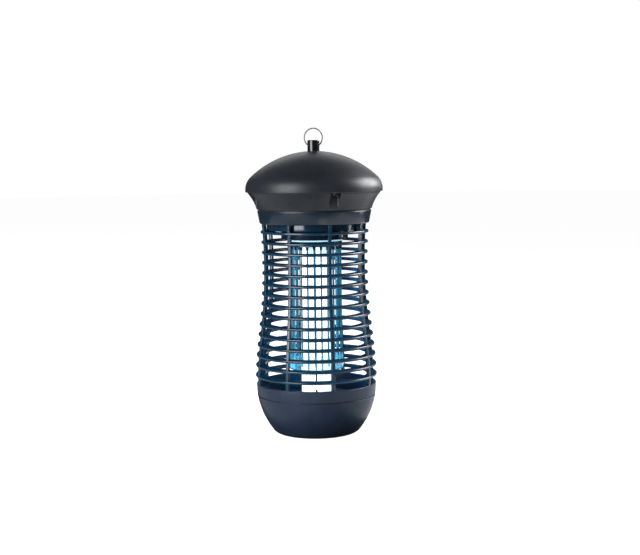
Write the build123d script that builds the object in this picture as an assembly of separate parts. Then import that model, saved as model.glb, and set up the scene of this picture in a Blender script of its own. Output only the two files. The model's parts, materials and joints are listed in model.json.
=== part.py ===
from build123d import *
import math
import os

# Hanging electric bug zapper, in millimetres. +Z is up, the body's axis is Z, and z = 0 is the flat
# underside of the insect tray. The two guard halves meet on the plane y = 0.

# Levels of the casing
TRAY_TOP = 49.5
RIM_TOP = 63.8
BAND_BOTTOM = 265.1
BAND_TOP = 281.1
ROOF_EDGE = 304.4
ROOF_APEX = 354.9
POST_TOP = 368.4

# Guard: fins, ribs, upper band and lower rim
FIN_COUNT = 15
FIN_PITCH = 12.9
TOP_FIN_Z = 254.6
FIN_THICKNESS = 3.2
FIN_DEPTH = 12.0
FIN_EDGE_RADIUS = 1.2
WAIST_RADIUS = 66.5
WAIST_Z = 221.3
FLARE = 10.3
FLARE_HEIGHT = 150.0
FLARE_POWER = 1.3
NECK_SPREAD = 0.00116
RIB_COUNT = 8
RIB_WIDTH = 4.0
RIB_DEPTH = 4.2
RIB_SETBACK = 1.2
SEAM_RIB_WIDTH = 3.6
RIB_FACETS = 8
BAND_RADIUS_TOP = 71.6
BAND_RADIUS_BOTTOM = 68.6
BAND_INNER_RADIUS = 65.4
BAND_CORNER = 2.0
RIM_RADIUS_TOP = 75.7
RIM_RADIUS_BOTTOM = 74.9
RIM_INNER_RADIUS = 72.0
RIM_CORNER = 1.0

# Insect tray
TRAY_ARC_RADIUS = 97.6
TRAY_BASE_RADIUS = 51.7
TRAY_BASE_FILLET = 13.2
TRAY_WALL = 2.2
SPIGOT_RADIUS = 71.8
SPIGOT_HEIGHT = 5.8
SPIGOT_ROOT = 5.0
LEDGE_INSET = 0.6
LEDGE_DEPTH = 3.0

# Neck collar and roof
NECK_RADIUS_TOP = 84.2
NECK_RADIUS_MIDDLE = 76.0
NECK_RADIUS_BOTTOM = 71.6
NECK_WALL = 2.6
NECK_FLOOR = 2.6
NECK_FLANGE_Z = 303.7
NECK_FLANGE_TOP = 306.3
NECK_FLANGE_INNER = 68.0
CHANNEL_TURN = 2.0
CHANNEL_BACK = 72.9
CHANNEL_HALF_WIDTH = 6.35
CHANNEL_CORNER = 2.5
CHANNEL_LINER = 2.2
ROOF_SCREW_CIRCLE = 77.5
ROOF_RADIUS = 86.0
DOME_RADIUS = 114.8
SHOULDER_RADIUS = 20.8
ROOF_WALL = 2.6
ROOF_LAND = 0.4
ROOF_BOSS_RADIUS = 4.0
ROOF_PAD_RADIUS = 11.0
ROOF_PAD = 5.0
LIP_CLEARANCE = 0.2

# Hanger
POST_RADIUS = 7.5
POST_CORNER = 1.2
EYE_RADIUS = 2.5
RING_RADIUS = 11.7
RING_WIRE_RADIUS = 0.8
EYE_Z = 360.95
RING_DROP = 1.35
STUD_RADIUS = 3.0
STUD_BOTTOM = 338.3
STUD_REACH = 2.6
WASHER_RADIUS = 8.0
WASHER_THICKNESS = 1.6
NUT_RADIUS = 5.8
NUT_HEIGHT = 5.0

# Lamp drum, holder and lamp
DRUM_RADIUS = 60.0
DRUM_BOTTOM = 256.8
DRUM_SHELF = 267.3
DRUM_NECK_RADIUS = 50.0
DRUM_WALL = 2.6
DRUM_FLANGE_RADIUS = 64.6
DRUM_FLANGE = 3.0
DRUM_BOSS_RADIUS = 3.6
DRUM_BOSS = 5.0
HUB_RADIUS = 42.0
HUB_BOTTOM = 245.3
HUB_FLOOR = 4.0
HUB_OPENING = 35.1
LIMB_RADIUS = 8.75
LIMB_OFFSET = 10.25
LAMP_TIP = 45.3
LAMP_BRIDGE_Z = 56.3
LAMP_BRIDGE_RADIUS = 3.6
BASE_LENGTH = 43.6
BASE_WIDTH = 23.2
BASE_BOTTOM = 244.3
BASE_TOP = 269.3
PIN_RADIUS = 1.3
PIN_LENGTH = 6.8
SOCKET_CLEARANCE = 0.06
HOLDER_BOTTOM = 269.7
HOLDER_SCREW_X = 27.0
HOLDER_BRACKET = 3.0

# Killing grid
WIRE_COUNT = 24
WIRE_RADIUS = 1.0
GRID_RADIUS = 32.5
GRID_PHASE = 12.0
INSULATOR_RADIUS = 34.5
INSULATOR_FLANGE_RADIUS = 39.0
INSULATOR_FLANGE = 2.5
TOP_INSULATOR_BOTTOM = 236.8
LOWER_INSULATOR_BOTTOM = 83.3
LOWER_INSULATOR_TOP = 92.3
LOWER_OPENING = 25.6
SOCKET_RADIUS = 1.8
SOCKET_TIP_RADIUS = 1.4
TOP_SOCKET_HEIGHT = 4.0
LOWER_SOCKET_HEIGHT = 8.0
WIRE_SOCKET = 5.0
GRID_RING = 1.5
GRID_POST_CIRCLE = 28.4
GRID_POST_RADIUS = 2.0
GRID_NUT_RADIUS = 2.6
GRID_NUT_HEIGHT = 2.4
POST_END = 1.0

# Electronics, on the neck's floor
BOARD_LENGTH = 108.0
BOARD_WIDTH = 72.0
BOARD_THICKNESS = 1.6
BOARD_POST_RADIUS = 3.2
BOARD_Z = 293.3
BOARD_SCREW_X = 48.0
BOARD_SCREW_Y = 30.0
TRANSFORMER_X = -22.0
TRANSFORMER_Y = 14.0
TRANSFORMER_HEIGHT = 32.0
CAN_RADIUS = 5.0
CAN_HEIGHT = 19.0
CAN_PITCH = 14.0
RESISTOR_RADIUS = 2.0
RESISTOR_LENGTH = 12.0
BALLAST_LENGTH = 60.0
BALLAST_WIDTH = 22.0
BALLAST_HEIGHT = 20.0
TERMINAL_X = 34.0
TERMINAL_Y = 20.0
TERMINAL_PITCH = 8.0
TERMINAL_WIDTH = 12.0
TERMINAL_HEIGHT = 13.0

# Cable gland in the back of the neck
GLAND_ANGLE = 45.0
GLAND_Z = 292.7
GLAND_BORE = 3.25
GLAND_THREAD_RADIUS = 6.0
GLAND_BOSS_RADIUS = 8.6
GLAND_SEAT_INNER = 69.0
GLAND_SEAT_OUTER = 79.4
GLAND_RECESS_RADIUS = 9.8
GLAND_INNER_END = 65.0
GLAND_OUTER_END = 86.0
GLAND_CAP_END = 88.4
GLAND_CAP_RADIUS = 8.0
GLAND_COLLAR_RADIUS = 9.0
GLAND_COLLAR = 3.0
GLAND_NUT_RADIUS = 7.6

# Self-tapping screws
SCREW_RADIUS = 1.75
SCREW_CLEARANCE_RADIUS = 1.95
SCREW_HEAD_RADIUS = 3.4
SCREW_HEAD_HEIGHT = 2.5
SMALL_SCREW_RADIUS = 1.25
SMALL_CLEARANCE_RADIUS = 1.45
CAGE_SCREW_CIRCLE = 59.5
LUG_LENGTH = 14.0
LUG_WIDTH = 9.0
LUG_HEIGHT = 6.0
DRUM_SCREW_CIRCLE = 54.0
GRID_SCREW_CIRCLE = 36.9
SEAM_SCREW_X = 66.0
SEAM_EAR_BOTTOM = 56.9
SEAM_EAR_TOP = 62.7
SEAM_EAR_LENGTH = 13.0
SEAM_EAR_WIDTH = 12.0

# Levels that follow from the others
NECK_FLOOR_TOP = BAND_TOP + NECK_FLOOR
PAD_BOTTOM = ROOF_APEX - ROOF_PAD
BOARD_TOP = BOARD_Z + BOARD_THICKNESS
LUG_TOP = BAND_TOP - DRUM_FLANGE
LUG_BOTTOM = LUG_TOP - LUG_HEIGHT
TOP_INSULATOR_TOP = HUB_BOTTOM + HUB_FLOOR + INSULATOR_FLANGE

BOTTOM = (Align.CENTER, Align.CENTER, Align.MIN)
BIG = 400.0


def guard_radius(z):
    """Outer radius of the fins at height z: a waist near the top and a smooth flare to the foot."""
    if z > WAIST_Z:
        return WAIST_RADIUS + NECK_SPREAD * (z - WAIST_Z) ** 2
    part = min((WAIST_Z - z) / FLARE_HEIGHT, 1.0)
    return WAIST_RADIUS + FLARE * (1 - math.cos(math.pi * part ** FLARE_POWER)) / 2


def cylinder(radius, z_low, z_high, x=0.0, y=0.0):
    return Pos(x, y, z_low) * Cylinder(radius, z_high - z_low, align=BOTTOM)


def tube(outer, inner, z_low, z_high, x=0.0, y=0.0):
    return cylinder(outer, z_low, z_high, x, y) - cylinder(inner, z_low, z_high, x, y)


def block(length, width, z_low, z_high, x=0.0, y=0.0, corner=0.0):
    sketch = Rectangle(length, width)
    if corner:
        sketch = fillet(sketch.vertices(), corner)
    return Pos(x, y, z_low) * extrude(sketch, z_high - z_low)


def turned(edges):
    """Solid of revolution about Z from a closed outline drawn in the plane of X and Z."""
    return revolve(make_face([Plane.XZ * edge for edge in edges]), Axis.Z)


def around(count, radius, first=0.0):
    """Places on a circle, as (x, y, angle)."""
    for index in range(count):
        angle = first + 360.0 * index / count
        yield radius * math.cos(math.radians(angle)), radius * math.sin(math.radians(angle)), angle


def half_space(side):
    """Everything in front of the plane y = 0 for side -1, and behind it for side +1."""
    return Pos(0, side * BIG / 2, 0) * Box(BIG, BIG, 2 * BIG)


def circles(shape, radius):
    """The shape's circular edges of that radius, from low to high."""
    return [edge for edge in shape.edges().filter_by(GeomType.CIRCLE).sort_by(Axis.Z)
            if abs(edge.radius - radius) < 0.01]


def pan_screw(length, radius=SCREW_RADIUS, head=SCREW_HEAD_RADIUS, height=SCREW_HEAD_HEIGHT):
    """Cross-head screw with its head on z = 0 and its shank down from there."""
    cap = cylinder(head, 0, height)
    cap = fillet(cap.edges().sort_by(Axis.Z)[-1], 0.35 * height)
    slot = Box(1.1 * head, 0.24 * head, height) + Box(0.24 * head, 1.1 * head, height)
    cap -= Pos(0, 0, height) * slot
    shank = cylinder(radius, -length + radius, 0)
    tip = Pos(0, 0, -length) * Cone(0.35 * radius, radius, radius, align=BOTTOM)
    return cap + shank + tip


def facing_up(screw):
    """The same screw turned over: its shank points up from z = 0."""
    return Rot(180, 0, 0) * screw


def group(solids):
    return Compound(children=[solid for shape in solids for solid in shape.solids()])


# ---- hanger ----

def hanging_ring():
    centre = EYE_Z - RING_DROP + RING_RADIUS
    return Pos(0, 0, centre) * Rot(90, 0, 0) * Torus(RING_RADIUS, RING_WIRE_RADIUS)


def hanger_post():
    low = ROOF_APEX - ROOF_LAND
    post = cylinder(POST_RADIUS, low, POST_TOP)
    post = fillet(post.edges().sort_by(Axis.Z)[-1], POST_CORNER)
    eye = Pos(0, 0, EYE_Z) * Rot(0, 90, 0) * Cylinder(EYE_RADIUS, 4 * POST_RADIUS)
    return post - eye - cylinder(STUD_RADIUS, low - 1, low + STUD_REACH)


def hanger_stud():
    stud = cylinder(STUD_RADIUS, STUD_BOTTOM, ROOF_APEX - ROOF_LAND + STUD_REACH)
    return chamfer(stud.edges().sort_by(Axis.Z)[0], 0.6)


def hanger_washer():
    return tube(WASHER_RADIUS, STUD_RADIUS + 0.2, PAD_BOTTOM - WASHER_THICKNESS, PAD_BOTTOM)


def hanger_nut():
    top = PAD_BOTTOM - WASHER_THICKNESS
    body = Pos(0, 0, top - NUT_HEIGHT) * extrude(RegularPolygon(NUT_RADIUS, 6), NUT_HEIGHT)
    return body - cylinder(STUD_RADIUS, top - NUT_HEIGHT, top)


# ---- roof ----

def dome(radius, dome_radius, shoulder_radius, z_edge, z_cap):
    """Solid cap: a spherical dome, a shoulder arc tangent to it, and an upright lip."""
    dome_centre = ROOF_APEX - DOME_RADIUS
    across = ROOF_RADIUS - SHOULDER_RADIUS
    shoulder_centre = dome_centre + math.sqrt((DOME_RADIUS - SHOULDER_RADIUS) ** 2 - across ** 2)
    turn = math.atan2(shoulder_centre - dome_centre, across)
    joint = (dome_radius * math.cos(turn), dome_centre + dome_radius * math.sin(turn))
    middle = (dome_radius * math.sin((math.pi / 2 - turn) / 2),
              dome_centre + dome_radius * math.cos((math.pi / 2 - turn) / 2))
    shoulder = (across + shoulder_radius * math.cos(turn / 2),
                shoulder_centre + shoulder_radius * math.sin(turn / 2))
    top = (0, dome_centre + dome_radius)
    outline = [
        Line((0, z_edge), (radius, z_edge)),
        Line((radius, z_edge), (radius, shoulder_centre)),
        ThreePointArc((radius, shoulder_centre), shoulder, joint),
        ThreePointArc(joint, middle, top),
        Line(top, (0, z_edge)),
    ]
    return turned(outline) - cylinder(BIG / 2, z_cap, BIG)


def roof_screw_places():
    return list(around(4, ROOF_SCREW_CIRCLE, CHANNEL_TURN))


def roof_cover():
    cap = dome(ROOF_RADIUS, DOME_RADIUS, SHOULDER_RADIUS, ROOF_EDGE, ROOF_APEX - ROOF_LAND)
    inner = dome(ROOF_RADIUS - ROOF_WALL, DOME_RADIUS - ROOF_WALL, SHOULDER_RADIUS - ROOF_WALL,
                 ROOF_EDGE, ROOF_APEX)
    pad = cylinder(ROOF_PAD_RADIUS, PAD_BOTTOM, ROOF_APEX)
    bosses = [cylinder(ROOF_BOSS_RADIUS, NECK_FLANGE_TOP, ROOF_APEX, x, y)
              for x, y, _ in roof_screw_places()]
    roof = cap - inner
    for solid in [pad] + bosses:
        roof += solid & cap
    for x, y, _ in roof_screw_places():
        roof -= cylinder(SCREW_RADIUS, NECK_FLANGE_TOP - 1, NECK_FLANGE_TOP + 9.6, x, y)
    return roof - cylinder(STUD_RADIUS + 0.2, PAD_BOTTOM - 1, ROOF_APEX + 1)


def roof_screws():
    screw = facing_up(pan_screw(12.0))
    return group(Pos(x, y, NECK_FLANGE_Z) * screw for x, y, _ in roof_screw_places())


# ---- neck collar ----

def neck_profile(inset, z_low, z_high):
    middle = (ROOF_EDGE + BAND_TOP) / 2
    outline = [
        Line((0, z_low), (NECK_RADIUS_BOTTOM - inset, z_low)),
        ThreePointArc((NECK_RADIUS_BOTTOM - inset, z_low), (NECK_RADIUS_MIDDLE - inset, middle),
                      (NECK_RADIUS_TOP - inset, z_high)),
        Line((NECK_RADIUS_TOP - inset, z_high), (0, z_high)),
        Line((0, z_high), (0, z_low)),
    ]
    return turned(outline)


def gland_axis(distance):
    """Frame on the gland's axis, with its Z pointing out of the neck."""
    return Rot(0, 0, GLAND_ANGLE) * Pos(distance, 0, GLAND_Z) * Rot(0, 90, 0)


def gland_cylinder(radius, start, end):
    return gland_axis(start) * Cylinder(radius, end - start, align=BOTTOM)


def channel(index, wall, z_high):
    """Upright flat-backed slot in the side of the neck, or its liner when it has a wall."""
    back = CHANNEL_BACK - wall
    slot = block(2 * (ROOF_RADIUS - back), 2 * (CHANNEL_HALF_WIDTH + wall), BAND_TOP, z_high,
                 ROOF_RADIUS, 0, corner=CHANNEL_CORNER)
    return Rot(0, 0, CHANNEL_TURN + 90.0 * index) * slot


def neck_collar():
    outside = neck_profile(0, BAND_TOP, ROOF_EDGE)
    hollow = neck_profile(NECK_WALL, BAND_TOP, ROOF_EDGE) - cylinder(BIG / 4, 0, NECK_FLOOR_TOP)
    flange = tube(ROOF_RADIUS - ROOF_WALL - LIP_CLEARANCE, NECK_FLANGE_INNER, NECK_FLANGE_Z,
                  NECK_FLANGE_TOP)
    neck = outside - hollow
    for index in range(4):
        neck += channel(index, CHANNEL_LINER, NECK_FLANGE_Z) & outside
    neck += flange
    neck += gland_cylinder(GLAND_BOSS_RADIUS, GLAND_SEAT_INNER, GLAND_SEAT_OUTER)
    for index in range(4):
        neck -= channel(index, 0.0, NECK_FLANGE_Z)
    for x, y, _ in roof_screw_places():
        neck -= cylinder(SCREW_CLEARANCE_RADIUS, NECK_FLANGE_Z - 1, NECK_FLANGE_TOP + 1, x, y)
    for x, y in board_corners():
        neck += cylinder(BOARD_POST_RADIUS, NECK_FLOOR_TOP, BOARD_Z, x, y)
        neck -= cylinder(SCREW_RADIUS, BOARD_Z - 6, BOARD_Z + 1, x, y)
    for x, y, _ in cage_screw_places() + drum_screw_places():
        neck -= cylinder(SCREW_CLEARANCE_RADIUS, BAND_TOP - 1, NECK_FLOOR_TOP + 1, x, y)
    for side in (-1, 1):
        x = side * HOLDER_SCREW_X
        neck += cylinder(3.4, BAND_TOP - 5, BAND_TOP, x, 0)
        neck -= cylinder(SCREW_RADIUS, BAND_TOP - 4, NECK_FLOOR_TOP + 1, x, 0)
    neck -= block(BASE_LENGTH + 3, BASE_WIDTH + 3, BAND_TOP - 1, NECK_FLOOR_TOP + 1)
    neck -= gland_cylinder(GLAND_RECESS_RADIUS, GLAND_SEAT_OUTER, GLAND_SEAT_OUTER + 10)
    return neck - gland_cylinder(GLAND_THREAD_RADIUS + 0.1, GLAND_SEAT_INNER - 1, GLAND_SEAT_OUTER + 1)


# ---- cable gland ----

def cable_gland():
    body = gland_cylinder(GLAND_THREAD_RADIUS, GLAND_INNER_END, GLAND_OUTER_END)
    collar = gland_axis(GLAND_SEAT_OUTER) * extrude(RegularPolygon(GLAND_COLLAR_RADIUS, 6), GLAND_COLLAR)
    return body + collar - gland_cylinder(GLAND_BORE, 60.0, 90.0)


def gland_cap():
    start = GLAND_SEAT_OUTER + GLAND_COLLAR
    shell = gland_cylinder(GLAND_CAP_RADIUS, start, GLAND_CAP_END)
    shell = fillet(shell.edges().group_by(Axis((0, 0, 0), (1, 1, 0)))[-1], 1.6)
    shell -= gland_cylinder(GLAND_THREAD_RADIUS, start - 1, GLAND_OUTER_END)
    return shell - gland_cylinder(GLAND_BORE, 60.0, 90.0)


def gland_nut():
    start = GLAND_SEAT_INNER - GLAND_COLLAR
    body = gland_axis(start) * extrude(RegularPolygon(GLAND_NUT_RADIUS, 6), GLAND_COLLAR)
    return body - gland_cylinder(GLAND_THREAD_RADIUS, start - 1, GLAND_SEAT_INNER + 1)


# ---- electronics ----

def board_corners():
    return [(x, y) for x in (-BOARD_SCREW_X, BOARD_SCREW_X) for y in (-BOARD_SCREW_Y, BOARD_SCREW_Y)]


def hv_board():
    board = block(BOARD_LENGTH, BOARD_WIDTH, BOARD_Z, BOARD_TOP, corner=4.0)
    for x, y in board_corners():
        board -= cylinder(SCREW_CLEARANCE_RADIUS, BOARD_Z - 1, BOARD_TOP + 1, x, y)
    return board


def board_screws():
    return group(Pos(x, y, BOARD_TOP) * pan_screw(7.0) for x, y in board_corners())


def hv_transformer():
    x, y = TRANSFORMER_X, TRANSFORMER_Y
    core = block(38, 12, BOARD_TOP, BOARD_TOP + TRANSFORMER_HEIGHT, x, y, corner=1.0)
    bobbin = block(24, 28, BOARD_TOP + 5, BOARD_TOP + TRANSFORMER_HEIGHT - 5, x, y, corner=3.0)
    return core + bobbin


def hv_capacitors():
    places = [(26 + CAN_PITCH * column, -22 + CAN_PITCH * row) for column in range(2) for row in range(2)]
    cans = []
    for x, y in places:
        can = cylinder(CAN_RADIUS, BOARD_TOP, BOARD_TOP + CAN_HEIGHT, x, y)
        cans.append(fillet(can.edges().sort_by(Axis.Z)[-1], 0.8))
    return group(cans)


def hv_resistors():
    bodies = []
    for index in range(3):
        centre = (8.0, 12.0 + 7.0 * index, BOARD_TOP + RESISTOR_RADIUS)
        bodies.append(Pos(*centre) * Rot(0, 90, 0) * Cylinder(RESISTOR_RADIUS, RESISTOR_LENGTH))
    return group(bodies)


def ballast():
    top = BOARD_TOP + BALLAST_HEIGHT
    case = block(BALLAST_LENGTH, BALLAST_WIDTH, BOARD_TOP, top, -11, -17, corner=2.0)
    return fillet(case.edges().group_by(Axis.Z)[-1], 1.0)


def terminal_places():
    return [TERMINAL_X + TERMINAL_PITCH * index for index in (-1, 0, 1)]


def terminal_block():
    y, top = TERMINAL_Y, BOARD_TOP + TERMINAL_HEIGHT
    case = block(3 * TERMINAL_PITCH, TERMINAL_WIDTH, BOARD_TOP, top, TERMINAL_X, y)
    for x in terminal_places():
        case -= cylinder(2.4, top - 7, top + 1, x, y)
        case -= Pos(x, y + TERMINAL_WIDTH / 2, BOARD_TOP + 3.5) * Box(4.5, 8, 4.5)
    return case


def terminal_screws():
    screw = pan_screw(3.6, radius=1.2, head=2.2, height=1.6)
    z = BOARD_TOP + TERMINAL_HEIGHT - 3.4
    return group(Pos(x, TERMINAL_Y, z) * screw for x in terminal_places())


# ---- lamp drum and holder ----

def cage_screw_places():
    return list(around(4, CAGE_SCREW_CIRCLE, 45.0))


def drum_screw_places():
    return list(around(4, DRUM_SCREW_CIRCLE))


def grid_screw_places():
    return list(around(4, GRID_SCREW_CIRCLE, 45.0))


def lamp_drum():
    """Stepped housing above the lamp: a flange under the neck, a wide drum, and a hub for the grid."""
    flange_low = BAND_TOP - DRUM_FLANGE
    wide = cylinder(DRUM_RADIUS, DRUM_BOTTOM, DRUM_SHELF)
    wide = fillet(wide.edges().sort_by(Axis.Z)[0], 1.0)
    hub = cylinder(HUB_RADIUS, HUB_BOTTOM, DRUM_BOTTOM)
    hub = fillet(hub.edges().sort_by(Axis.Z)[0], 1.0)
    drum = wide + hub
    drum += cylinder(DRUM_NECK_RADIUS, DRUM_SHELF, flange_low)
    drum += cylinder(DRUM_FLANGE_RADIUS, flange_low, BAND_TOP)
    drum -= cylinder(HUB_RADIUS - DRUM_WALL, HUB_BOTTOM + HUB_FLOOR, DRUM_BOTTOM + DRUM_WALL)
    drum -= cylinder(DRUM_RADIUS - DRUM_WALL, DRUM_BOTTOM + DRUM_WALL, DRUM_SHELF - DRUM_WALL)
    drum -= cylinder(DRUM_NECK_RADIUS - DRUM_WALL, DRUM_SHELF - DRUM_WALL, BAND_TOP + 1)
    drum -= cylinder(HUB_OPENING, HUB_BOTTOM - 1, HUB_BOTTOM + HUB_FLOOR + 1)
    for x, y, _ in drum_screw_places():
        drum += cylinder(DRUM_BOSS_RADIUS, flange_low - DRUM_BOSS, flange_low, x, y)
        drum -= cylinder(SCREW_RADIUS, flange_low - DRUM_BOSS - 1, BAND_TOP + 1, x, y)
    for x, y, _ in cage_screw_places():
        drum -= cylinder(SCREW_CLEARANCE_RADIUS, flange_low - 1, BAND_TOP + 1, x, y)
    for x, y, _ in grid_screw_places():
        drum -= cylinder(SMALL_SCREW_RADIUS, HUB_BOTTOM + 0.8, HUB_BOTTOM + HUB_FLOOR + 1, x, y)
    return drum


def drum_screws():
    screw = pan_screw(NECK_FLOOR + DRUM_FLANGE + DRUM_BOSS - 1.0)
    return group(Pos(x, y, NECK_FLOOR_TOP) * screw for x, y, _ in drum_screw_places())


def pin_places():
    return [(x, 0.0) for x in (-15.0, -5.0, 5.0, 15.0)]


def lamp_holder():
    low, high = NECK_FLOOR_TOP, NECK_FLOOR_TOP + HOLDER_BRACKET
    holder = block(BASE_LENGTH, BASE_WIDTH, HOLDER_BOTTOM, low, corner=2.0)
    holder += block(2 * HOLDER_SCREW_X + 9, BASE_WIDTH, low, high, corner=3.0)
    for x, y in pin_places():
        holder -= cylinder(PIN_RADIUS + SOCKET_CLEARANCE, HOLDER_BOTTOM - 1,
                           BASE_TOP + PIN_LENGTH + 0.6, x, y)
    for side in (-1, 1):
        holder -= cylinder(SCREW_CLEARANCE_RADIUS, low - 1, high + 1, side * HOLDER_SCREW_X, 0)
    return holder


def holder_screws():
    top = NECK_FLOOR_TOP + HOLDER_BRACKET
    return group(Pos(side * HOLDER_SCREW_X, 0, top) * pan_screw(9.0) for side in (-1, 1))


# ---- lamp ----

def lamp_base():
    base = block(BASE_LENGTH, BASE_WIDTH, BASE_BOTTOM, BASE_TOP, corner=5.0)
    return fillet(base.edges().group_by(Axis.Z)[-1], 1.2)


def lamp_pins():
    return group(cylinder(PIN_RADIUS, BASE_TOP, BASE_TOP + PIN_LENGTH, x, y) for x, y in pin_places())


def lamp_tube():
    limbs = []
    for side in (-1, 1):
        limb = cylinder(LIMB_RADIUS, LAMP_TIP, BASE_BOTTOM, side * LIMB_OFFSET, 0)
        limbs.append(fillet(limb.edges().sort_by(Axis.Z)[0], 6.5))
    bridge = Pos(0, 0, LAMP_BRIDGE_Z) * Rot(0, 90, 0) * Cylinder(LAMP_BRIDGE_RADIUS, 2 * LIMB_OFFSET)
    return limbs[0] + limbs[1] + bridge


# ---- killing grid ----

def wire_places(parity):
    places = list(around(WIRE_COUNT, GRID_RADIUS, GRID_PHASE))
    return [(x, y) for x, y, _ in places[parity::2]]


def socket_cone(z, height, x, y):
    """Insulating boss round a wire: its wide end is on z, and height is negative for one that hangs."""
    cone = Cone(SOCKET_RADIUS, SOCKET_TIP_RADIUS, abs(height), align=BOTTOM)
    if height < 0:
        cone = Rot(180, 0, 0) * cone
    return Pos(x, y, z) * cone


def grid_post_places():
    return list(around(2, GRID_POST_CIRCLE))


def grid_top_insulator():
    low, high = TOP_INSULATOR_BOTTOM, TOP_INSULATOR_TOP
    disc = cylinder(INSULATOR_RADIUS, low, high)
    disc += cylinder(INSULATOR_FLANGE_RADIUS, high - INSULATOR_FLANGE, high)
    for parity in (0, 1):
        for x, y in wire_places(parity):
            disc += socket_cone(low, -TOP_SOCKET_HEIGHT, x, y)
    disc -= block(BASE_LENGTH + 2.4, BASE_WIDTH + 2.4, low - 1, high + 1, corner=6.0)
    for x, y in wire_places(0):
        disc -= cylinder(WIRE_RADIUS, low - TOP_SOCKET_HEIGHT - 1, high + 1, x, y)
    for x, y in wire_places(1):
        disc -= cylinder(WIRE_RADIUS, low - TOP_SOCKET_HEIGHT - 1, low + WIRE_SOCKET, x, y)
    for x, y, _ in grid_post_places():
        disc -= cylinder(GRID_POST_RADIUS, low - 1, high + 1, x, y)
    for x, y, _ in grid_screw_places():
        disc -= cylinder(SMALL_CLEARANCE_RADIUS, high - INSULATOR_FLANGE - 1, high + 1, x, y)
    return disc


def grid_bottom_insulator():
    low, high = LOWER_INSULATOR_BOTTOM, LOWER_INSULATOR_TOP
    disc = cylinder(INSULATOR_RADIUS, low, high)
    for parity in (0, 1):
        for x, y in wire_places(parity):
            disc += socket_cone(high, LOWER_SOCKET_HEIGHT, x, y)
    disc -= cylinder(LOWER_OPENING, low - 1, high + 1)
    for x, y in wire_places(0):
        disc -= cylinder(WIRE_RADIUS, high - WIRE_SOCKET, high + LOWER_SOCKET_HEIGHT + 1, x, y)
    for x, y in wire_places(1):
        disc -= cylinder(WIRE_RADIUS, low - 1, high + LOWER_SOCKET_HEIGHT + 1, x, y)
    for x, y, _ in grid_post_places():
        disc -= cylinder(GRID_POST_RADIUS, low - 1, high + 1, x, y)
    return disc


def grid(parity, wire_low, wire_high, ring_low):
    wires = [cylinder(WIRE_RADIUS, wire_low, wire_high, x, y) for x, y in wire_places(parity)]
    ring = tube(GRID_RADIUS + 1.3, GRID_RADIUS - 1.3, ring_low, ring_low + GRID_RING)
    return group(wires + [ring])


def live_grid():
    return grid(0, LOWER_INSULATOR_TOP - WIRE_SOCKET, TOP_INSULATOR_TOP, TOP_INSULATOR_TOP)


def ground_grid():
    low = LOWER_INSULATOR_BOTTOM
    return grid(1, low, TOP_INSULATOR_BOTTOM + WIRE_SOCKET, low - GRID_RING)


def grid_screws():
    screw = pan_screw(5.4, radius=SMALL_SCREW_RADIUS, head=2.0, height=1.6)
    return group(Pos(x, y, TOP_INSULATOR_TOP) * screw for x, y, _ in grid_screw_places())


def grid_posts():
    low = LOWER_INSULATOR_BOTTOM - GRID_NUT_HEIGHT - POST_END
    high = TOP_INSULATOR_TOP + GRID_NUT_HEIGHT + POST_END
    return group(cylinder(GRID_POST_RADIUS, low, high, x, y) for x, y, _ in grid_post_places())


def grid_nuts():
    nuts = []
    for z in (LOWER_INSULATOR_BOTTOM - GRID_NUT_HEIGHT, TOP_INSULATOR_TOP):
        for x, y, _ in grid_post_places():
            nut = Pos(x, y, z) * extrude(RegularPolygon(GRID_NUT_RADIUS, 6), GRID_NUT_HEIGHT)
            nuts.append(nut - cylinder(GRID_POST_RADIUS, z, z + GRID_NUT_HEIGHT, x, y))
    return group(nuts)


# ---- guard ----

def rib(angle, low, high):
    """Upright bar of the guard along its outline, from low to high across the bar's own direction."""
    levels = [RIM_TOP + (BAND_BOTTOM - RIM_TOP) * index / RIB_FACETS for index in range(RIB_FACETS + 1)]
    outer = [(guard_radius(z) - RIB_SETBACK, z) for z in levels]
    inner = [(radius - RIB_DEPTH, z) for radius, z in outer]
    corners = outer + inner[::-1]
    outline = [Line(start, end) for start, end in zip(corners, corners[1:] + corners[:1])]
    face = make_face([Plane.XZ * edge for edge in outline])
    return Rot(0, 0, angle) * Pos(0, high, 0) * extrude(face, high - low)


def guard_ribs(side):
    """Ribs of one half: a bar on its own side of each seam, and full bars between them."""
    half = RIB_WIDTH / 2
    bars = [rib(side * 180.0 * index / (RIB_COUNT // 2), -half, half) for index in range(1, RIB_COUNT // 2)]
    near_seam = sorted((0.0, side * SEAM_RIB_WIDTH))
    far_seam = sorted((0.0, -side * SEAM_RIB_WIDTH))
    return bars + [rib(0.0, *near_seam), rib(180.0, *far_seam)]


def guard_fin(index):
    z = TOP_FIN_Z - FIN_PITCH * index
    radius = guard_radius(z)
    fin = tube(radius, radius - FIN_DEPTH, z - FIN_THICKNESS / 2, z + FIN_THICKNESS / 2)
    return fillet(circles(fin, radius), FIN_EDGE_RADIUS)


def guard_band():
    band = turned([
        Line((BAND_INNER_RADIUS, BAND_BOTTOM), (BAND_RADIUS_BOTTOM, BAND_BOTTOM)),
        Line((BAND_RADIUS_BOTTOM, BAND_BOTTOM), (BAND_RADIUS_TOP, BAND_TOP)),
        Line((BAND_RADIUS_TOP, BAND_TOP), (BAND_INNER_RADIUS, BAND_TOP)),
        Line((BAND_INNER_RADIUS, BAND_TOP), (BAND_INNER_RADIUS, BAND_BOTTOM)),
    ])
    return fillet(circles(band, BAND_RADIUS_BOTTOM), BAND_CORNER)


def band_half(side):
    half = guard_band()
    for x, y, angle in cage_screw_places():
        lug = block(LUG_LENGTH, LUG_WIDTH, LUG_BOTTOM, LUG_TOP, CAGE_SCREW_CIRCLE + 0.5, 0)
        half += Rot(0, 0, angle) * lug
        half -= cylinder(SCREW_RADIUS, LUG_BOTTOM - 1, LUG_TOP + 1, x, y)
    return half & half_space(side)


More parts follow.
